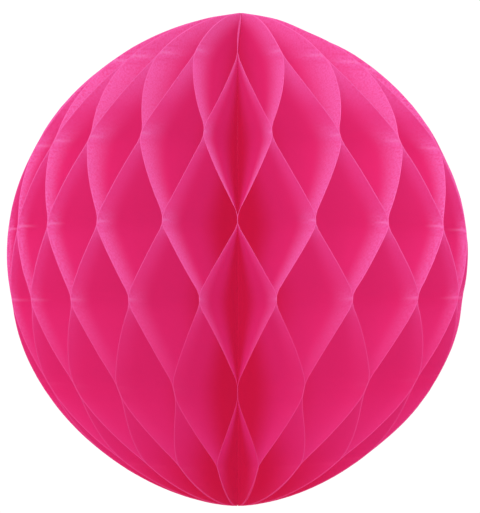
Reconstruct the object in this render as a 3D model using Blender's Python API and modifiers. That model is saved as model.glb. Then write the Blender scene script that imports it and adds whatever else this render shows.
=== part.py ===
# Honeycomb paper ball. Thin tissue leaves, cut as half-discs, stand on edge round an upright spine.
# Each leaf is glued to its neighbours along short level stripes. The stripes of one glue plane lie
# between those of the next, so the leaves open into rows of diamond cells. Two stiff cover cards
# close the circle back to back at the seam.
# The spine lies on Z, the origin is the ball's centre, and the front is at -Y.

import math

import bmesh
import bpy
from mathutils import Vector

# The ball, in metres
HALF_HEIGHT = 0.100
RADIUS = 0.0934
ACROSS_POWER = 1.67  # 2 gives an ellipse, and less a rim that rises to a blunt peak at the poles
UPRIGHT_POWER = 2.10  # 2 gives an ellipse, and more a rim that stays upright longer at the sides

# Tissue leaves and the gap that each glue stripe fills
LEAF_COUNT = 40
TISSUE = 0.0002
GLUE_GAP = 0.0003

# Glue stripes. Even glue planes carry the upper set, and odd ones the lower set
STRIPE_PITCH = 0.0650
STRIPE_WIDTH = 0.0032
UPPER_SET_HEIGHT = 0.0130
LOWER_SET_HEIGHT = -0.0178
POLE_MARGIN = 0.010  # no stripe is printed this close to a pole

# The ball was opened unevenly: its cells are widest to the right of the front
EXTRA_OPENING = 37  # per cent
WIDEST_FROM_FRONT = 7.9  # in leaves
WIDENING_SPREAD = 5.0  # in leaves

# Bound spine
SPINE_SLACK = 135  # ring of inner edges, in per cent of the same edges pressed tight
SPINE_SEGMENTS = 28
SPINE_END_ROUND = 0.0012
TIP_WIDTH = 0.0025  # level top and bottom edge of each leaf

# Cover cards and the tape between them
CARD = 0.0008
CARD_INSET = 0.0020  # the cards stay this far inside the leaves' rims
TAPE = 0.0002
TAPE_WIDTH = 0.012
TAPE_LENGTH = 0.050
TAPE_EDGE = 0.008  # from the cards' rim
TAPE_HEIGHT = 0.034  # middle of a strip, above or below the centre
FACE_GAP = 0.0003  # between a card and the tape

# Mesh detail
RAMP_STEPS = 3
RAMP_EASE = 20  # per cent, from straight walls at 0 to full S-curves at 100
CAP_STEPS = 5
CARD_STEPS = 18
HALVINGS = 40

TISSUE_PINK = (0.76, 0.02, 0.14, 1.0)
CARD_PINK = (0.70, 0.03, 0.15, 1.0)
TAPE_WHITE = (0.82, 0.82, 0.78, 1.0)
THREAD_PINK = (0.62, 0.03, 0.12, 1.0)

# What follows from the sizes above
SEAM_HALF = TAPE / 2 + FACE_GAP + CARD + GLUE_GAP / 2
TIGHT_RING = LEAF_COUNT * (TISSUE + GLUE_GAP) + 2 * SEAM_HALF
LEAF_START = SPINE_SLACK / 100 * TIGHT_RING / (2 * math.pi)
TIP_RADIUS = LEAF_START + TIP_WIDTH
SPINE_RADIUS = LEAF_START - FACE_GAP
HALF_PITCH = STRIPE_PITCH / 2


def clear_scene():
    for obj in list(bpy.data.objects):
        bpy.data.objects.remove(obj, do_unlink=True)


def make_material(name, colour, roughness):
    material = bpy.data.materials.new(name)
    material.use_nodes = True
    shader = material.node_tree.nodes["Principled BSDF"]
    shader.inputs["Base Color"].default_value = colour
    shader.inputs["Roughness"].default_value = roughness
    shader.inputs["Metallic"].default_value = 0.0
    return material


def outline_height(radius, inset=0.0):
    # Height of the half-disc's rim above the centre, at a distance from the spine
    share = min(1.0, radius / (RADIUS - inset))
    return (HALF_HEIGHT - inset) * (1 - share**ACROSS_POWER) ** (1 / UPRIGHT_POWER)


def outline_radius(height, inset=0.0):
    share = min(1.0, abs(height) / (HALF_HEIGHT - inset))
    return (RADIUS - inset) * (1 - share**UPRIGHT_POWER) ** (1 / ACROSS_POWER)


def leaf_opening(leaf):
    # How wide a leaf is opened, against one far from the widest
    away = (leaf + 0.5 - LEAF_COUNT / 2 - WIDEST_FROM_FRONT) / WIDENING_SPREAD
    return 1 + EXTRA_OPENING / 100 * math.exp(-(away**2))


class GluePlane:
    # An upright plane between two leaves. Its offset from the spine's axis makes room for the cards.
    def __init__(self, angle, offset, opening, stripes):
        self.along = Vector((math.sin(angle), -math.cos(angle), 0))
        self.across = Vector((math.cos(angle), math.sin(angle), 0))
        self.offset = offset
        self.opening = opening
        self.stripes = stripes

    def seat(self, radius, inset):
        # Point of a leaf that lies against this plane
        offset = self.offset + inset
        return self.across * offset + self.along * math.sqrt(radius**2 - offset**2)

    def shortening(self, radius):
        # Walls keep their length, so rows come closer together where a cell opens and they lean
        return math.cos(math.atan(radius * self.opening / HALF_PITCH))


def stripe_heights(set_height):
    # Heights of one set of stripes on the flat leaf, from the bottom up
    reach = HALF_HEIGHT - POLE_MARGIN
    lowest = math.ceil((-reach - set_height) / STRIPE_PITCH)
    highest = math.floor((reach - set_height) / STRIPE_PITCH)
    return [set_height + step * STRIPE_PITCH for step in range(lowest, highest + 1)]


def glue_planes():
    openings = [leaf_opening(leaf) for leaf in range(LEAF_COUNT)]
    shares = [sum(openings[:plane]) / sum(openings) for plane in range(LEAF_COUNT + 1)]
    front = shares[LEAF_COUNT // 2]
    sets = (stripe_heights(UPPER_SET_HEIGHT), stripe_heights(LOWER_SET_HEIGHT))
    planes = []
    for plane, share in enumerate(shares):
        before = shares[max(plane - 1, 0)]
        after = shares[min(plane + 1, LEAF_COUNT)]
        leaves_beside = min(plane + 1, LEAF_COUNT) - max(plane - 1, 0)
        opening = 2 * math.pi * (after - before) / leaves_beside
        angle = 2 * math.pi * (share - front)
        planes.append(GluePlane(angle, SEAM_HALF * (1 - 2 * share), opening, sets[plane % 2]))
    return planes


def eased(step):
    return step - RAMP_EASE / 100 / (2 * math.pi) * math.sin(2 * math.pi * step)


class Leaf:
    # One tissue sheet between two glue planes. A row of it has a height on the flat sheet, and a
    # side: 0 where it lies on the left plane, 1 on the right one, and between them on a cell's wall.
    def __init__(self, left, right):
        self.left = left
        self.right = right

    def shortening(self, side, radius):
        return (1 - side) * self.left.shortening(radius) + side * self.right.shortening(radius)

    def rim_radius(self, height, side):
        # Distance from the spine at which a row meets the ball's outline, by halving
        low, high = 0.0, RADIUS
        for _ in range(HALVINGS):
            middle = (low + high) / 2
            if outline_height(middle) > abs(height) * self.shortening(side, middle):
                low = middle
            else:
                high = middle
        return high

    def point(self, height, side, radius):
        # Paper doesn't stretch, so a row keeps its distance from the spine while it crosses a cell
        inset = (GLUE_GAP + TISSUE) / 2
        point = self.left.seat(radius, inset).lerp(self.right.seat(radius, -inset), side)
        point *= radius / point.length
        point.z = height * self.shortening(side, radius)
        return point

    def glued_rows(self):
        # Two rows for each stripe, and between stripes the wall that climbs from one to the next
        stripes = [(height, 0) for height in self.left.stripes]
        stripes += [(height, 1) for height in self.right.stripes]
        stripes.sort()
        rows = []
        for height, side in stripes:
            rows += [(height - STRIPE_WIDTH / 2, side), (height + STRIPE_WIDTH / 2, side)]
        for (low, side), (high, next_side) in zip(stripes, stripes[1:]):
            for step in range(1, RAMP_STEPS):
                share = step / RAMP_STEPS
                height = low + STRIPE_WIDTH / 2 + share * (high - low - STRIPE_WIDTH)
                rows.append((height, side + (next_side - side) * eased(share)))
        return sorted(rows)

    def cap_rows(self, last_row, sign):
        # Beyond its last stripe a leaf lies flat against that stripe's neighbour, up to the pole
        height, side = last_row
        start = self.rim_radius(height, side)
        rows = []
        for step in range(1, CAP_STEPS + 1):
            radius = start + (TIP_RADIUS - start) * step / CAP_STEPS
            rows.append((sign * outline_height(radius) / self.shortening(side, radius), side))
        return rows

    def edges(self):
        # Inner and outer point of each row, from the bottom up
        rows = self.glued_rows()
        rows = self.cap_rows(rows[0], -1)[::-1] + rows + self.cap_rows(rows[-1], 1)
        edges = []
        for height, side in rows:
            radii = (LEAF_START, self.rim_radius(height, side))
            edges.append([self.point(height, side, radius) for radius in radii])
        return edges


def card_edges(seam, offset):
    # A cover card lies flat beside the seam, its outline a little inside the leaves'
    top = outline_height(TIP_RADIUS, CARD_INSET)
    edges = []
    for step in range(-CARD_STEPS, CARD_STEPS + 1):
        turn = math.asin(top / HALF_HEIGHT) * step / CARD_STEPS
        height = HALF_HEIGHT * math.sin(turn)
        base = seam.across * offset + Vector((0, 0, height))
        radii = (LEAF_START, outline_radius(height, CARD_INSET))
        edges.append([base + seam.along * radius for radius in radii])
    return edges


def make_sheet(name, edges, thickness, material, collection):
    # A thin sheet whose inner and outer edges run through the given pairs of points
    rows = len(edges) - 1
    bm = bmesh.new()
    bmesh.ops.create_grid(bm, x_segments=1, y_segments=rows, size=1)
    for index, vert in enumerate(bm.verts):
        row, end = divmod(index, 2)
        vert.co = edges[row][end]
    bmesh.ops.triangulate(bm, faces=bm.faces, quad_method="FIXED")
    sheet = add_object(name, bm, material, collection)
    wall = sheet.modifiers.new("Wall", "SOLIDIFY")
    wall.thickness = thickness
    wall.offset = 0


def add_object(name, bm, material, collection):
    mesh = bpy.data.meshes.new(name)
    bm.to_mesh(mesh)
    bm.free()
    mesh.materials.append(material)
    obj = bpy.data.objects.new(name, mesh)
    collection.objects.link(obj)
    return obj


def add_leaves(planes, collection):
    for leaf in range(LEAF_COUNT):
        name = f"leaf_{leaf + 1:02d}"
        material = make_material(f"tissue_{leaf + 1:02d}", TISSUE_PINK, 0.85)
        edges = Leaf(planes[leaf], planes[leaf + 1]).edges()
        make_sheet(name, edges, TISSUE, material, collection)


def add_cards(seam, collection):
    offset = TAPE / 2 + FACE_GAP + CARD / 2
    for side, sign in (("right", 1), ("left", -1)):
        material = make_material(f"card_{side}", CARD_PINK, 0.7)
        make_sheet(f"cover_card_{side}", card_edges(seam, sign * offset), CARD, material, collection)


def add_tape(seam, collection):
    for place, sign in (("upper", 1), ("lower", -1)):
        height = sign * TAPE_HEIGHT
        rim = outline_radius(TAPE_HEIGHT + TAPE_LENGTH / 2, CARD_INSET)
        bm = bmesh.new()
        bmesh.ops.create_cube(bm, size=1)
        bmesh.ops.scale(bm, vec=(TAPE_WIDTH, TAPE, TAPE_LENGTH), verts=bm.verts)
        material = make_material(f"tape_{place}", TAPE_WHITE, 0.5)
        strip = add_object(f"tape_strip_{place}", bm, material, collection)
        strip.location = seam.along * (rim - TAPE_EDGE - TAPE_WIDTH / 2) + Vector((0, 0, height))
        strip.rotation_euler.z = math.atan2(seam.along.y, seam.along.x)


def add_spine(collection):
    height = 2 * outline_height(TIP_RADIUS)
    bm = bmesh.new()
    bmesh.ops.create_cone(
        bm,
        cap_ends=True,
        segments=SPINE_SEGMENTS,
        radius1=SPINE_RADIUS,
        radius2=SPINE_RADIUS,
        depth=height,
    )
    spine = add_object("spine_binding", bm, make_material("thread", THREAD_PINK, 0.8), collection)
    rounding = spine.modifiers.new("Rounded ends", "BEVEL")
    rounding.width = SPINE_END_ROUND
    rounding.segments = 2
    rounding.limit_method = "ANGLE"


def build():
    clear_scene()
    collection = bpy.data.collections.new("honeycomb_paper_ball")
    bpy.context.scene.collection.children.link(collection)
    planes = glue_planes()
    seam = planes[0]
    add_leaves(planes, collection)
    add_cards(seam, collection)
    add_tape(seam, collection)
    add_spine(collection)


build()
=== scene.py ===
import math

import bpy
from mathutils import Matrix, Vector, noise


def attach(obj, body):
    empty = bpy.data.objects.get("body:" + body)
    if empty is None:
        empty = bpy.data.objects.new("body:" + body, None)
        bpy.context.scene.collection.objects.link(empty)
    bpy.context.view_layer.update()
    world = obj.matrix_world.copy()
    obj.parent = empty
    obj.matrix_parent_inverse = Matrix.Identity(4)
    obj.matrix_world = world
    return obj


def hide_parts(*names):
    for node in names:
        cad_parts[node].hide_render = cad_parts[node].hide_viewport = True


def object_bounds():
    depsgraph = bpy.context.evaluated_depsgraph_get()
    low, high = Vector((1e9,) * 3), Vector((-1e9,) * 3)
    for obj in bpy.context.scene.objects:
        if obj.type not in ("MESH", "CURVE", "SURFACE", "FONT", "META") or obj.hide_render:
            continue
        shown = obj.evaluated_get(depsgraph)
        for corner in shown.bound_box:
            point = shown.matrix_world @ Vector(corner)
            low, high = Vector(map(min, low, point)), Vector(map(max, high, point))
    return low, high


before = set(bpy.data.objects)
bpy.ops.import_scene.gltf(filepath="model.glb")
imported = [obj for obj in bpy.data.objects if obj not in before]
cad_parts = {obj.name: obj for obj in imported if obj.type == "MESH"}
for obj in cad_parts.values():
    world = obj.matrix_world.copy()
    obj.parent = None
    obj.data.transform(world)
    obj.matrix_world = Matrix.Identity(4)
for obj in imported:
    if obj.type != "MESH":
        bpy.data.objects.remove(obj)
cadBox = [list(corner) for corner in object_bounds()]
scene = bpy.context.scene


# Small helpers for node trees; an owner is a material or the world
def addNode(owner, kind, **values):
    node = owner.node_tree.nodes.new(kind)
    for name, value in values.items():
        if name in node.inputs:
            node.inputs[name].default_value = value
        else:
            setattr(node, name, value)
    return node


def plug(owner, source, socket):
    # Links a node's output, and sets a plain number or colour on the socket itself
    if isinstance(source, bpy.types.NodeSocket):
        owner.node_tree.links.new(source, socket)
    else:
        socket.default_value = source


def ramp(owner, source, reach, result=(0.0, 1.0), soft=True):
    # Carries a value from one span to another, eased at both ends if soft
    node = addNode(owner, "ShaderNodeMapRange")
    node.interpolation_type = "SMOOTHSTEP" if soft else "LINEAR"
    for name, value in zip(("From Min", "From Max", "To Min", "To Max"), (*reach, *result)):
        node.inputs[name].default_value = value
    plug(owner, source, node.inputs["Value"])
    return node.outputs["Result"]


def combine(owner, operation, first, second):
    node = addNode(owner, "ShaderNodeMath", operation=operation)
    plug(owner, first, node.inputs[0])
    plug(owner, second, node.inputs[1])
    return node.outputs[0]


def mixColours(owner, share, first, second, how="MIX"):
    node = addNode(owner, "ShaderNodeMix", data_type="RGBA", blend_type=how)
    plug(owner, share, node.inputs["Factor"])
    plug(owner, first, node.inputs[6])
    plug(owner, second, node.inputs[7])
    return node.outputs[2]


def mixShaders(owner, share, first, second):
    node = addNode(owner, "ShaderNodeMixShader")
    for source, socket in zip((share, first, second), node.inputs):
        plug(owner, source, socket)
    return node.outputs[0]


def measured(owner, name):
    return addNode(owner, "ShaderNodeAttribute", attribute_name=name).outputs["Fac"]


def newMaterial(name):
    material = bpy.data.materials.new(name)
    material.use_nodes = True
    return material, material.node_tree.nodes["Principled BSDF"]


# Camera, a little below the ball's middle
shot = {
    "distance": 0.692,
    "elevation": -1.43,  # degrees
    "lens": 119.04,
    "sensor": 36,
    "shift": (0.0052, 0.0059),
    "nearest": 0.01,
}


def addCamera():
    tilt = math.radians(shot["elevation"])
    place = Vector((0, -math.cos(tilt), math.sin(tilt))) * shot["distance"]
    bpy.ops.object.camera_add(location=place)
    camera = bpy.context.object
    camera.name = "photoCamera"
    camera.rotation_euler = (-place).to_track_quat("-Z", "Y").to_euler()
    camera.data.lens = shot["lens"]
    camera.data.sensor_width = shot["sensor"]
    camera.data.shift_x, camera.data.shift_y = shot["shift"]
    camera.data.clip_start = shot["nearest"]
    scene.camera = camera


addCamera()
print("camera placed")

# Soft studio: a white tent, brightest up and in front of the ball, and two wide lights
studio = {
    "tentTone": (1.0, 1.0, 1.0, 1.0),
    "tentDim": 0.65,
    "tentBright": 1.10,
    "tentSpan": (-1.0, 1.0),  # from straight away from the bright side to straight towards it
    "brightFrom": (-0.22, -0.60, 0.77),
    "backdrop": 1.05,  # how bright the tent looks to the camera
    "overhead": {"power": 2.5, "size": 1.1, "place": (0.10, -0.45, 1.00)},
    "front": {"power": 3.5, "size": 0.7, "place": (-0.30, -1.25, 0.45)},
    "floorDrop": 0.45,  # the ball hangs this far above the floor
    "floorSize": 40.0,
    "floorTone": (0.84, 0.84, 0.84, 1.0),
    "floorRoughness": 0.9,
    "floorBounce": (0.60, 0.60, 0.60, 1.0),  # light that the floor throws back up
    "coveSpan": (0.5, 2.2),  # outwards over this span the floor fades into the backdrop
    "bounces": 12,
    "leafBounces": 1,  # from leaf to leaf, before light counts as deep glow
    "deepGlow": 1.15,
    "deepReach": 0.00001,  # so short that nothing shades the glow
}


def addLight(name, setup):
    place = Vector(setup["place"])
    bpy.ops.object.light_add(type="AREA", location=place)
    light = bpy.context.object
    light.name = name
    light.rotation_euler = (-place).to_track_quat("-Z", "Y").to_euler()
    light.data.shape = "DISK"
    light.data.size = setup["size"]
    light.data.energy = setup["power"]


def addTent():
    world = bpy.data.worlds.new("whiteTent")
    scene.world = world
    world.use_nodes = True
    world.node_tree.nodes.clear()
    way = addNode(world, "ShaderNodeTexCoord")
    facing = addNode(world, "ShaderNodeVectorMath", operation="DOT_PRODUCT")
    plug(world, way.outputs["Generated"], facing.inputs[0])
    plug(world, Vector(studio["brightFrom"]).normalized(), facing.inputs[1])
    levels = (studio["tentDim"], studio["tentBright"])
    level = ramp(world, facing.outputs["Value"], studio["tentSpan"], levels, soft=False)
    glow = addNode(world, "ShaderNodeBackground", Color=studio["tentTone"])
    plug(world, level, glow.inputs["Strength"])
    seen = addNode(world, "ShaderNodeBackground", Color=studio["tentTone"], Strength=studio["backdrop"])
    toCamera = addNode(world, "ShaderNodeLightPath").outputs["Is Camera Ray"]
    tent = mixShaders(world, toCamera, glow.outputs[0], seen.outputs[0])
    plug(world, tent, addNode(world, "ShaderNodeOutputWorld").inputs["Surface"])


def addFloor():
    place = (0, 0, cadBox[0][2] - studio["floorDrop"])
    bpy.ops.mesh.primitive_plane_add(size=studio["floorSize"], location=place)
    floor = bpy.context.object
    floor.name = "studioFloor"
    material, shader = newMaterial("paleFloor")
    shader.inputs["Base Color"].default_value = studio["floorTone"]
    shader.inputs["Roughness"].default_value = studio["floorRoughness"]
    away = addNode(material, "ShaderNodeVectorMath", operation="LENGTH")
    plug(material, addNode(material, "ShaderNodeTexCoord").outputs["Object"], away.inputs[0])
    fade = ramp(material, away.outputs["Value"], studio["coveSpan"])
    glow = addNode(material, "ShaderNodeEmission", Strength=studio["backdrop"])
    cove = mixShaders(material, fade, shader.outputs[0], glow.outputs[0])
    bounce = addNode(material, "ShaderNodeBsdfDiffuse", Color=studio["floorBounce"])
    toCamera = addNode(material, "ShaderNodeLightPath").outputs["Is Camera Ray"]
    seen = mixShaders(material, toCamera, bounce.outputs[0], cove)
    plug(material, seen, material.node_tree.nodes["Material Output"].inputs["Surface"])
    floor.data.materials.append(material)


addTent()
addFloor()
addLight("overheadSoftbox", studio["overhead"])
addLight("frontSoftbox", studio["front"])
scene.view_settings.view_transform = "Standard"
scene.cycles.max_bounces = studio["bounces"]
scene.cycles.diffuse_bounces = studio["bounces"]
scene.cycles.transmission_bounces = studio["bounces"]
scene.cycles.use_fast_gi = True  # light that has passed many leaves is a plain glow
scene.cycles.fast_gi_method = "REPLACE"
scene.cycles.ao_bounces = studio["leafBounces"]
scene.cycles.ao_bounces_render = studio["leafBounces"]
scene.world.light_settings.ao_factor = studio["deepGlow"]
scene.world.light_settings.distance = studio["deepReach"]
print("studio lit")


def finish(piece, material, slot, *nodes):
    piece.data.materials.clear()
    piece.data.materials.append(material)
    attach(piece, "root")
    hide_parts(*nodes)


# The ball's own sizes, in metres. They follow the solids, but for the stripes, which are
# slightly narrower here, and of which the topmost sit a little higher
ball = {
    "halfHeight": 0.100,
    "radius": 0.0934,
    "acrossPower": 1.67,  # the outline is a little slimmer than an ellipse
    "uprightPower": 2.10,
    "leaves": 40,
    "stripePitch": 0.0650,
    "stripeWidth": 0.0030,
    "upperSet": 0.0130,  # height of one stripe of each set
    "lowerSet": -0.0178,
    "poleMargin": 0.010,
    "topFrom": 0.060,  # the topmost stripes are those above this height
    "topShift": 0.0025,
    "extraOpening": 0.37,  # how much wider the widest cells are
    "widestFromFront": 7.9,  # in leaves, to the right
    "wideningSpread": 5.0,
    "seamHalf": 0.00135,  # room for one cover card and half the tape
    "halvings": 34,  # of the search for the rim
}


def outlineHeight(radius):
    share = min(1.0, radius / ball["radius"])
    return ball["halfHeight"] * (1 - share ** ball["acrossPower"]) ** (1 / ball["uprightPower"])


def gluePlanes():
    # Each plane's way out and across, its offset from the axis, and how wide its cells open
    count = ball["leaves"]
    openings = []
    for leaf in range(count):
        away = (leaf + 0.5 - count / 2 - ball["widestFromFront"]) / ball["wideningSpread"]
        openings.append(1 + ball["extraOpening"] * math.exp(-(away**2)))
    total = sum(openings)
    shares = [sum(openings[:plane]) / total for plane in range(count + 1)]
    planes = []
    for plane, share in enumerate(shares):
        low, high = max(plane - 1, 0), min(plane + 1, count)
        turn = 2 * math.pi * (share - shares[count // 2])
        planes.append({
            "along": Vector((math.sin(turn), -math.cos(turn), 0)),
            "across": Vector((math.cos(turn), math.sin(turn), 0)),
            "offset": ball["seamHalf"] * (1 - 2 * share),
            "opening": 2 * math.pi * (shares[high] - shares[low]) / (high - low),
        })
    return planes


def stripeHeights(setHeight):
    reach = ball["halfHeight"] - ball["poleMargin"]
    pitch = ball["stripePitch"]
    lowest = math.ceil((-reach - setHeight) / pitch)
    highest = math.floor((reach - setHeight) / pitch)
    heights = [setHeight + step * pitch for step in range(lowest, highest + 1)]
    return [height + ball["topShift"] * (height > ball["topFrom"]) for height in heights]


planes = gluePlanes()
upperStripes = stripeHeights(ball["upperSet"])
stripes = sorted(upperStripes + stripeHeights(ball["lowerSet"]))

# The crown has been pulled up a little and leans to one side
crown = {
    "rise": 0.0011,
    "spread": 0.012,
    "lean": 0.0014,
    "leanFrom": 0.080,  # height
}

# On the right the paper has slumped: inwards at the shoulder and outwards below it
slump = {
    "shoulder": {"angle": 71.0, "spread": 7.0, "out": -0.00135},  # degrees above level
    "flank": {"angle": 28.0, "spread": 9.0, "out": 0.0010},
}


def slumped(point):
    reach = point.length
    angle = math.degrees(math.asin(point.z / reach))
    share = (point.x / math.hypot(point.x, point.y) * reach / ball["halfHeight"]) ** 2
    out = 0.0
    for place in slump.values():
        out += place["out"] * math.exp(-(((angle - place["angle"]) / place["spread"]) ** 2))
    return point * (1 + out * share / reach)


def settle(point):
    if point.x > 0:
        point.x, point.y, point.z = slumped(point)
    radius = math.hypot(point.x, point.y)
    share = (point.z - crown["leanFrom"]) / (ball["halfHeight"] - crown["leanFrom"])
    share = min(1.0, max(0.0, share))
    point.x += crown["lean"] * share * share * (3 - 2 * share)
    point.z += crown["rise"] * share * max(0.0, 1 - radius / crown["spread"]) ** 2


# Tissue leaf, in metres where nothing else is said
tissue = {
    "paper": 0.00007,
    "gap": 0.00006,  # glue film between two leaves
    "start": 0.0016,  # inner edges, from the axis
    "tip": 0.0022,  # corners at the poles, from the axis
    "columns": 22,
    "crowding": 1.7,  # how much the columns crowd towards the rim
    "wallSteps": 12,
    "capSteps": 16,
    "bend": 0.06,  # share of a wall that curves at each end, where it leaves a stripe
    "lowestBend": 1.45,  # the lowest walls cross over mostly near their lower ends
    "bulge": 0.035,  # waves in a wall, as a share of the cell's width
    "waves": (22, 30),  # per metre, outwards and upwards
    "gape": 0.05,  # how far the poles' ends of two leaves part
    "gapeLeast": 0.6,
    "ragged": 0.00012,
    "tears": 400,  # per metre of rim
    "leafStep": 3.7,  # so that no two leaves have the same waves
    "seed": 11,
    "smoothTo": 50,  # degrees
    "texture": 2.2,  # side of the texture square that holds one flat leaf, in half heights
    "topLight": 5.0,  # painted light from above: the upper cells get less painted shade
    "narrowing": 8.0,  # how much narrower the painted light along the rims gets away from the front
    "wideSpan": (0.025, 0.065),  # between these heights the narrowing ends
    "midWallPower": 0.7,
    "slopeGain": 3,  # a wall that leans by a third counts in full
}

sheetSize = tissue["texture"] * ball["halfHeight"]


def onSheet(height):
    return height / sheetSize + 0.5


def shortening(plane, radius):
    return math.cos(math.atan(radius * plane["opening"] / (ball["stripePitch"] / 2)))


def seat(plane, radius, inset):
    offset = plane["offset"] + inset
    return plane["across"] * offset + plane["along"] * math.sqrt(radius**2 - offset**2)


def sideShort(left, right, side, radius):
    return (1 - side) * shortening(left, radius) + side * shortening(right, radius)


def rimRadius(left, right, side, height):
    # Where a row meets the ball's outline, by halving
    low, high = 0.0, ball["radius"]
    for _ in range(ball["halvings"]):
        middle = (low + high) / 2
        if outlineHeight(middle) > abs(height) * sideShort(left, right, side, middle):
            low = middle
        else:
            high = middle
    return high


def leaning(share):
    # A wall curves out of one stripe, runs straight, and curves into the next
    if share > 0.5:
        return 1 - leaning(1 - share)
    bend = tissue["bend"]
    slope = 1 / (1 - bend)
    if share < bend:
        return slope * share**2 / (2 * bend)
    return slope * (share - bend / 2)


def leafRows(upperSide):
    # Rows from the bottom up: flat height, side it leans to, and how far into a cap it is
    half = ball["stripeWidth"] / 2
    rows = []
    for stripe in stripes:
        side = upperSide if stripe in upperStripes else 1 - upperSide
        rows += [(stripe - half, side, 0), (stripe, side, 0), (stripe + half, side, 0)]
    for low, high in zip(stripes, stripes[1:]):
        side = upperSide if low in upperStripes else 1 - upperSide
        for step in range(1, tissue["wallSteps"]):
            share = step / tissue["wallSteps"]
            height = low + half + share * (high - low - 2 * half)
            if low == stripes[0]:
                share = 1 - (1 - share) ** tissue["lowestBend"]
            rows.append((height, side + (1 - 2 * side) * leaning(share), 0))
    rows.sort()
    first, last = rows[0], rows[-1]
    caps = [step / tissue["capSteps"] for step in range(1, tissue["capSteps"] + 1)]
    bottom = [(first[0], first[1], share) for share in reversed(caps)]
    top = [(last[0], last[1], share) for share in caps]
    return bottom + rows + top


def rimOfRow(left, right, row):
    # Rim radius and flat height of a row; cap rows walk along the outline to the tip
    height, side, cap = row
    radius = rimRadius(left, right, side, height)
    if cap:
        radius += (tissue["tip"] - radius) * cap
        height = math.copysign(outlineHeight(radius) / sideShort(left, right, side, radius), height)
    return radius, height


def distanceToSegment(point, start, end):
    line = end - start
    share = max(0.0, min(1.0, (point - start).dot(line) / line.length_squared))
    return (start + line * share - point).length


def flatLeaf():
    # One sheet laid flat. Each point knows its place in the texture, and how many
    # millimetres it is from the rim and from a stripe
    rows = leafRows(0)
    columns = tissue["columns"]
    shares = [1 - (1 - column / columns) ** tissue["crowding"] for column in range(columns + 1)]
    bpy.ops.object.select_all(action="DESELECT")
    bpy.ops.mesh.primitive_grid_add(x_subdivisions=columns, y_subdivisions=len(rows) - 1, size=1)
    leaf = bpy.context.object
    leaf.name = "flatLeaf"
    mesh = leaf.data
    middle = {"opening": 2 * math.pi / ball["leaves"]}
    rims = [rimOfRow(middle, middle, row) for row in rows]
    outline = [Vector(rim) for rim in rims]
    fromRim = mesh.attributes.new("fromRim", "FLOAT", "POINT")
    fromGlue = mesh.attributes.new("fromGlue", "FLOAT", "POINT")
    for index, vertex in enumerate(mesh.vertices):
        row, column = divmod(index, len(shares))
        radius, height = rims[row]
        across = tissue["start"] + (radius - tissue["start"]) * shares[column]
        place = Vector((across, height))
        vertex.co = (across, 0, height)
        near = min(distanceToSegment(place, start, end) for start, end in zip(outline, outline[1:]))
        fromRim.data[index].value = near * 1000
        fromGlue.data[index].value = min(abs(height - stripe) for stripe in stripes) * 1000
    for loop, corner in zip(mesh.loops, mesh.uv_layers.active.data):
        place = mesh.vertices[loop.vertex_index].co
        corner.uv = (place.x / sheetSize, onSheet(place.z))
    return leaf, shares


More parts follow.
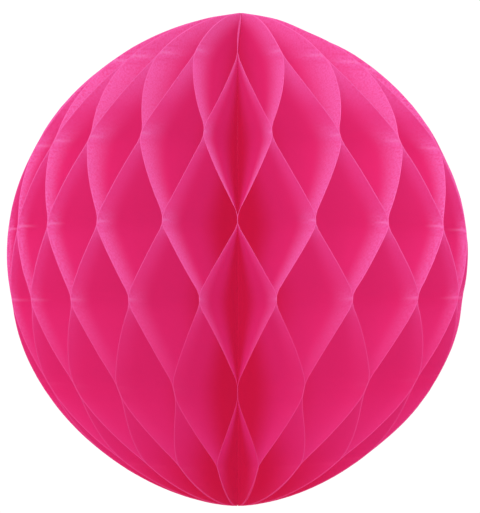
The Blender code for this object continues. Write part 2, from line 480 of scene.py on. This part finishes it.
def openLeaf(flat, shares, number):
    # A copy of the flat sheet, opened between its two glue planes
    left, right = planes[number], planes[number + 1]
    leaf = flat.copy()
    leaf.data = flat.data.copy()
    leaf.name = f"tissueLeaf{number + 1:02d}"
    leaf.data.name = leaf.name
    scene.collection.objects.link(leaf)
    for name in ("midWall", "intoCell", "shadeFromSpine", "upperSide"):
        leaf.data.attributes.new(name, "FLOAT", "POINT")
    midWall = leaf.data.attributes["midWall"]
    intoCell = leaf.data.attributes["intoCell"]
    shadeFromSpine = leaf.data.attributes["shadeFromSpine"]
    quarter = ball["leaves"] / 4
    aside = min(1.0, abs(number + 0.5 - 2 * quarter) / quarter)  # none in front, all at the sides
    inset = (tissue["gap"] + tissue["paper"]) / 2
    shift = Vector((number * tissue["leafStep"], tissue["seed"], 0))
    wavesOut, wavesUp = tissue["waves"]
    wideLow, wideHigh = tissue["wideSpan"]
    for row, (flatHeight, side, cap) in enumerate(leafRows(number % 2)):
        rim, height = rimOfRow(left, right, (flatHeight, side, cap))
        torn = noise.noise(shift + Vector((0, height * tissue["tears"], 5)))
        rim -= tissue["ragged"] * (1 + torn)
        # painted light from above pushes the painted shade further in, in the upper cells
        daylight = tissue["topLight"] * max(0.0, height) ** 2
        high = min(1.0, max(0.0, (height - wideLow) / (wideHigh - wideLow)))
        narrowing = 1 + tissue["narrowing"] * aside**2 * (1 - high)
        for column, share in enumerate(shares):
            radius = tissue["start"] + (rim - tissue["start"]) * share
            sway = noise.noise(shift + Vector((radius * wavesOut, height * wavesUp, 0)))
            lean = side + tissue["bulge"] * 4 * side * (1 - side) * sway
            if cap:
                away = tissue["gape"] * math.sin(math.pi * cap) * (tissue["gapeLeast"] + sway)
                lean += max(0.0, away) * (1 - 2 * side)
            point = seat(left, radius, inset).lerp(seat(right, radius, -inset), lean)
            point *= radius / point.length  # paper keeps its length from the spine
            point.z = height * sideShort(left, right, side, radius)
            settle(point)
            index = row * len(shares) + column
            leaf.data.vertices[index].co = point
            midWall.data[index].value = math.sin(math.pi * side) ** tissue["midWallPower"]
            # how far into the cell, stretched on the front leaves, for the painted light along the rims
            intoCell.data[index].value = (rim - radius) * narrowing * 1000  # mm
            # distance from the spine, pushed out near the top, for the painted shade deep in the cells
            shadeFromSpine.data[index].value = (radius + daylight) * 1000
    wall = leaf.modifiers.new("paper", "SOLIDIFY")
    wall.thickness = tissue["paper"]
    wall.offset = 0
    bpy.ops.object.select_all(action="DESELECT")
    bpy.context.view_layer.objects.active = leaf
    leaf.select_set(True)
    bpy.ops.object.modifier_apply(modifier=wall.name)
    bpy.ops.object.shade_smooth_by_angle(angle=math.radians(tissue["smoothTo"]))
    midWall = leaf.data.attributes["midWall"]
    upperSide = leaf.data.attributes["upperSide"]
    for vertex in leaf.data.vertices:  # one in mid wall where it looks up, minus one where down; steers the painted light on walls that face up
        slope = max(-1.0, min(1.0, vertex.normal.z * tissue["slopeGain"]))
        upperSide.data[vertex.index].value = slope * midWall.data[vertex.index].value
    finish(leaf, tissuePaper, "tissue", f"leaf_{number + 1:02d}")


# Dyed tissue paper, with widths and depths in millimetres and heights in metres
paper = {
    "wall": (0.84, 0.034, 0.225, 1.0),
    "deepShade": (0.76, 0.017, 0.098, 1.0),  # painted shade: far down in the cells the colour is darker and deeper
    "deepShadeSpan": (20.0, 57.0),  # the painted shade fades out between these distances from the spine
    "litBand": (0.98, 0.22, 0.68, 1.0),  # painted light: rims are paler where light falls into the cells, most of all towards the top
    "bandWidth": 28.0,
    "bandSpan": (-0.058, 0.012),  # the painted light grows between these heights, stronger higher up
    "bandLeast": 0.06,
    "mottling": {"Scale": 260.0, "Detail": 4.0, "Roughness": 0.6},
    "mottleSpan": (0.35, 0.60),
    "mottleShare": (0.30, 1.0),
    "upFacingSpan": (-1.0, 0.6),  # from walls that look down to walls that look up
    "downFacingShare": 0.2,  # share of the painted light on walls that look down
    "puckerLightReach": 9.0,  # this near a stripe the sheet puckers and gets painted light
    "topSpan": (0.045, 0.080),  # near the top pole every wall gets painted light
    "topShare": 0.8,
    "creaseHighlight": 0.34,  # painted highlight along the line that each stripe presses into the sheet
    "creaseTint": (0.99, 0.42, 0.86, 1.0),
    "creaseWidth": 1.0,
    "creaseEnd": 9.0,  # from the rim
    # painted highlight along the cut edge of the tissue, stronger towards the top
    "cutEdge": (0.99, 0.22, 0.64, 1.0),
    "cutEdgeWidth": 0.45,
    "cutEdgeLeast": 0.4,
    "passed": (0.95, 0.20, 0.45, 1.0),  # light that comes through
    "translucency": 0.5,
    "roughness": 0.9,
    "bump": {"Strength": 0.25, "Distance": 0.0001},
}


def tissueMaterial():
    material, front = newMaterial("tissuePaper")
    place = addNode(material, "ShaderNodeUVMap").outputs["UV"]
    cloud = addNode(material, "ShaderNodeTexNoise", **paper["mottling"])
    plug(material, place, cloud.inputs["Vector"])
    parts = addNode(material, "ShaderNodeSeparateXYZ")
    plug(material, place, parts.inputs[0])
    height = parts.outputs["Y"]
    fromRim = measured(material, "fromRim")
    fromGlue = measured(material, "fromGlue")

    # How much painted light a place gets: near the rim, high up, on walls that look up, and beside a
    # stripe
    litBand = ramp(material, measured(material, "intoCell"), (0.0, paper["bandWidth"]), (1.0, 0.0))
    mottle = ramp(material, cloud.outputs["Fac"], paper["mottleSpan"], paper["mottleShare"], soft=False)
    highs = [onSheet(level) for level in paper["bandSpan"]]
    lightFromAbove = ramp(material, height, highs, (paper["bandLeast"], 1.0))
    looksUp = measured(material, "upperSide")
    upFacingLight = ramp(material, looksUp, paper["upFacingSpan"], (paper["downFacingShare"], 1.0))
    tops = [onSheet(level) for level in paper["topSpan"]]
    topPoleLight = ramp(material, height, tops, (0.0, paper["topShare"]))
    puckerLight = ramp(material, fromGlue, (0.0, paper["puckerLightReach"]), (1.0, 0.0))
    lit = combine(material, "MAXIMUM", combine(material, "MAXIMUM", upFacingLight, topPoleLight), puckerLight)
    paintedLight = combine(
        material, "MULTIPLY",
        combine(material, "MULTIPLY", litBand, mottle),
        combine(material, "MULTIPLY", lightFromAbove, lit),
    )

    # Painted highlights: the pressed line at a stripe, and the cut edge, both stronger towards the top
    line = ramp(material, fromGlue, (0.0, paper["creaseWidth"]), (paper["creaseHighlight"], 0.0))
    outer = ramp(material, fromRim, (0.0, paper["creaseEnd"]), (1.0, 0.0))
    creaseHighlight = combine(material, "MULTIPLY", combine(material, "MULTIPLY", line, outer), lightFromAbove)
    cut = ramp(material, fromRim, (0.0, paper["cutEdgeWidth"]), (1.0, 0.0), soft=False)
    least = combine(material, "MAXIMUM", lightFromAbove, paper["cutEdgeLeast"])
    edgeHighlight = combine(material, "MULTIPLY", cut, least)

    # Painted shade: darker and deeper far down in the cells, towards the spine
    depth = ramp(material, measured(material, "shadeFromSpine"), paper["deepShadeSpan"], (1.0, 0.0))
    colour = mixColours(material, depth, paper["wall"], paper["deepShade"])
    colour = mixColours(material, paintedLight, colour, paper["litBand"])
    colour = mixColours(material, creaseHighlight, colour, paper["creaseTint"])
    colour = mixColours(material, edgeHighlight, colour, paper["cutEdge"])

    bump = addNode(material, "ShaderNodeBump", **paper["bump"])
    plug(material, cloud.outputs["Fac"], bump.inputs["Height"])
    front.inputs["Roughness"].default_value = paper["roughness"]
    front.inputs["Specular IOR Level"].default_value = 0.0
    plug(material, colour, front.inputs["Base Color"])
    plug(material, bump.outputs["Normal"], front.inputs["Normal"])
    through = addNode(material, "ShaderNodeBsdfTranslucent", Color=paper["passed"])
    plug(material, bump.outputs["Normal"], through.inputs["Normal"])
    both = mixShaders(material, paper["translucency"], front.outputs[0], through.outputs[0])
    plug(material, both, material.node_tree.nodes["Material Output"].inputs["Surface"])
    return material


tissuePaper = tissueMaterial()
flat, shares = flatLeaf()
for number in range(ball["leaves"]):
    openLeaf(flat, shares, number)
bpy.data.objects.remove(flat)
print("leaves opened:", ball["leaves"])

# Cover cards: half-discs of grey board, back to back where the leaves close the circle
card = {
    "board": 0.0008,
    "fromSeam": 0.0004,  # half the tape, and a little air
    "inset": 0.0020,  # stays this far inside the tissue's rim
    "start": 0.0018,
    "corners": 176,
    "softening": 0.00015,
    "smoothTo": 40,  # degrees
    "cutEdgeFrom": 0.001,  # from the inner edge, which stays plain
    "facing": (0.72, 0.020, 0.11, 1.0),  # dyed like the tissue
    "core": (0.36, 0.31, 0.27, 1.0),  # grey board shows at the cut edge
    "fibres": {"Scale": 900.0, "Detail": 3.0},
    "fibreShare": 0.25,
    "layers": {"Scale": 3500.0, "Detail": 2.0},
    "roughness": (0.55, 0.85),
    "gloss": 0.1,
    "bump": {"Strength": 0.3, "Distance": 0.00005},
}


def boardMaterial():
    material, shader = newMaterial("coverBoard")
    shader.inputs["Specular IOR Level"].default_value = card["gloss"]
    place = addNode(material, "ShaderNodeTexCoord").outputs["Object"]
    fibres = addNode(material, "ShaderNodeTexNoise", **card["fibres"])
    layers = addNode(material, "ShaderNodeTexNoise", **card["layers"])
    plug(material, place, fibres.inputs["Vector"])
    plug(material, place, layers.inputs["Vector"])
    face = mixColours(material, measured(material, "cutEdge"), card["facing"], card["core"])
    tint = mixColours(material, card["fibreShare"], face, fibres.outputs["Color"], "MULTIPLY")
    rough = ramp(material, fibres.outputs["Fac"], (0.0, 1.0), card["roughness"], soft=False)
    bump = addNode(material, "ShaderNodeBump", **card["bump"])
    plug(material, layers.outputs["Fac"], bump.inputs["Height"])
    plug(material, tint, shader.inputs["Base Color"])
    plug(material, rough, shader.inputs["Roughness"])
    plug(material, bump.outputs["Normal"], shader.inputs["Normal"])
    return material


def coverCard(name, node, sign, material):
    bpy.ops.object.select_all(action="DESELECT")
    bpy.ops.mesh.primitive_circle_add(vertices=card["corners"], radius=1, fill_type="NGON")
    board = bpy.context.object
    board.name = name
    wide, tall = ball["radius"] - card["inset"], ball["halfHeight"] - card["inset"]
    for vertex in board.data.vertices:  # a circle pulled to the leaves' outline
        x, y = vertex.co.x, vertex.co.y
        vertex.co.x = math.copysign(abs(x) ** (2 / ball["acrossPower"]), x) * wide
        vertex.co.y = math.copysign(abs(y) ** (2 / ball["uprightPower"]), y) * tall
    bpy.ops.object.mode_set(mode="EDIT")
    bpy.ops.mesh.select_all(action="SELECT")
    bpy.ops.mesh.bisect(plane_co=(card["start"], 0, 0), plane_no=(1, 0, 0), clear_inner=True)
    bpy.ops.mesh.select_all(action="SELECT")
    bpy.ops.mesh.extrude_region_move(TRANSFORM_OT_translate={"value": (0, 0, card["board"])})
    bpy.ops.mesh.select_all(action="SELECT")
    bpy.ops.mesh.normals_make_consistent(inside=False)
    bpy.ops.object.mode_set(mode="OBJECT")
    soft = board.modifiers.new("softEdges", "BEVEL")
    soft.width = card["softening"]
    soft.segments = 2
    soft.limit_method = "ANGLE"
    bpy.ops.object.modifier_apply(modifier=soft.name)
    bpy.ops.object.shade_smooth_by_angle(angle=math.radians(card["smoothTo"]))
    cut = board.data.attributes.new("cutEdge", "FLOAT", "FACE")
    for polygon in board.data.polygons:
        outer = polygon.center.x > card["start"] + card["cutEdgeFrom"]
        cut.data[polygon.index].value = float(outer and abs(polygon.normal.z) < 0.5)
    seam = planes[0]
    upright = Matrix((seam["along"], (0, 0, 1), seam["across"])).transposed().to_4x4()
    middle = sign * (card["fromSeam"] + card["board"] / 2) - card["board"] / 2
    board.data.transform(upright @ Matrix.Translation((0, 0, middle)))
    board.data.update()
    board.data.flip_normals()  # standing it up has mirrored it
    for vertex in board.data.vertices:
        settle(vertex.co)
    finish(board, material, "card", node)


board = boardMaterial()
coverCard("coverCardRight", "cover_card_right", 1, board)
coverCard("coverCardLeft", "cover_card_left", -1, board)
print("cover cards cut")

# Double-sided tape between the cards keeps the solid's shape
tape = {
    "tone": (0.80, 0.79, 0.74, 1.0),
    "roughness": (0.35, 0.60),
    "grain": {"Scale": 700.0, "Detail": 3.0},
    "grainShare": 0.15,
}


def tapeMaterial():
    material, shader = newMaterial("tapeFilm")
    grain = addNode(material, "ShaderNodeTexNoise", **tape["grain"])
    plug(material, addNode(material, "ShaderNodeTexCoord").outputs["Object"], grain.inputs["Vector"])
    tint = mixColours(material, tape["grainShare"], tape["tone"], grain.outputs["Color"], "MULTIPLY")
    rough = ramp(material, grain.outputs["Fac"], (0.0, 1.0), tape["roughness"], soft=False)
    plug(material, tint, shader.inputs["Base Color"])
    plug(material, rough, shader.inputs["Roughness"])
    return material


tapeFilm = tapeMaterial()
for node in ("tape_strip_upper", "tape_strip_lower"):
    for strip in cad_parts[node].material_slots:
        strip.material = tapeFilm
print("tape dressed")

# Spine: the leaves' inner edges are bound round a core with one wound thread
spine = {
    "core": 0.0009,
    "corners": 32,
    "reach": 0.0998,  # half its length
    "rounding": 0.0003,
    "thread": 0.0002,
    "threadCorners": 8,
    "sunk": 0.6,  # the thread's middle is this share of its radius outside the core
    "pitch": 0.0022,
    "steps": 18,
    "weld": 0.000001,
    "smoothTo": 50,  # degrees
    # as dark as the painted shade deep in the cells, where the thread sits
    "tone": (0.60, 0.010, 0.06, 1.0),
    "twist": {"Scale": 900.0, "Distortion": 1.5, "Detail Scale": 2.0},
    "twistShare": 0.35,
    "roughness": (0.65, 0.9),
    "bump": {"Strength": 0.4, "Distance": 0.00004},
}


def threadMaterial():
    material, shader = newMaterial("boundThread")
    shader.inputs["Specular IOR Level"].default_value = 0.0
    twist = addNode(material, "ShaderNodeTexWave", bands_direction="DIAGONAL", **spine["twist"])
    plug(material, addNode(material, "ShaderNodeTexCoord").outputs["Object"], twist.inputs["Vector"])
    tint = mixColours(material, spine["twistShare"], spine["tone"], twist.outputs["Color"], "MULTIPLY")
    rough = ramp(material, twist.outputs["Fac"], (0.0, 1.0), spine["roughness"], soft=False)
    bump = addNode(material, "ShaderNodeBump", **spine["bump"])
    plug(material, twist.outputs["Fac"], bump.inputs["Height"])
    plug(material, tint, shader.inputs["Base Color"])
    plug(material, rough, shader.inputs["Roughness"])
    plug(material, bump.outputs["Normal"], shader.inputs["Normal"])
    return material


def spineBinding():
    bpy.ops.object.select_all(action="DESELECT")
    bpy.ops.mesh.primitive_cylinder_add(
        vertices=spine["corners"], radius=spine["core"], depth=2 * spine["reach"])
    core = bpy.context.object
    core.name = "spineBinding"
    soft = core.modifiers.new("roundEnds", "BEVEL")
    soft.width = spine["rounding"]
    soft.segments = 3
    soft.limit_method = "ANGLE"
    bpy.ops.object.modifier_apply(modifier=soft.name)
    bpy.ops.object.select_all(action="DESELECT")
    out = spine["core"] + spine["thread"] * spine["sunk"]
    low = -spine["reach"] + 2 * spine["rounding"]
    bpy.ops.mesh.primitive_circle_add(
        vertices=spine["threadCorners"], radius=spine["thread"],
        location=(out, 0, low), rotation=(math.pi / 2, 0, 0))
    thread = bpy.context.object
    bpy.ops.object.transform_apply()
    turns = int(-2 * low / spine["pitch"])
    wind = thread.modifiers.new("wound", "SCREW")
    wind.angle = 2 * math.pi
    wind.screw_offset = spine["pitch"]
    wind.iterations = turns
    wind.steps = wind.render_steps = spine["steps"]
    bpy.ops.object.modifier_apply(modifier=wind.name)
    bpy.ops.object.mode_set(mode="EDIT")
    bpy.ops.mesh.select_all(action="SELECT")
    bpy.ops.mesh.remove_doubles(threshold=spine["weld"])
    bpy.ops.mesh.select_all(action="DESELECT")
    bpy.ops.mesh.select_non_manifold()
    bpy.ops.mesh.edge_face_add()
    bpy.ops.mesh.select_all(action="SELECT")
    bpy.ops.mesh.normals_make_consistent(inside=False)
    bpy.ops.object.mode_set(mode="OBJECT")
    core.select_set(True)
    bpy.context.view_layer.objects.active = core
    bpy.ops.object.join()
    bpy.ops.object.shade_smooth_by_angle(angle=math.radians(spine["smoothTo"]))
    for vertex in core.data.vertices:
        settle(vertex.co)
    finish(core, threadMaterial(), "thread", "spine_binding")
    print("thread wound:", turns, "turns")


spineBinding()
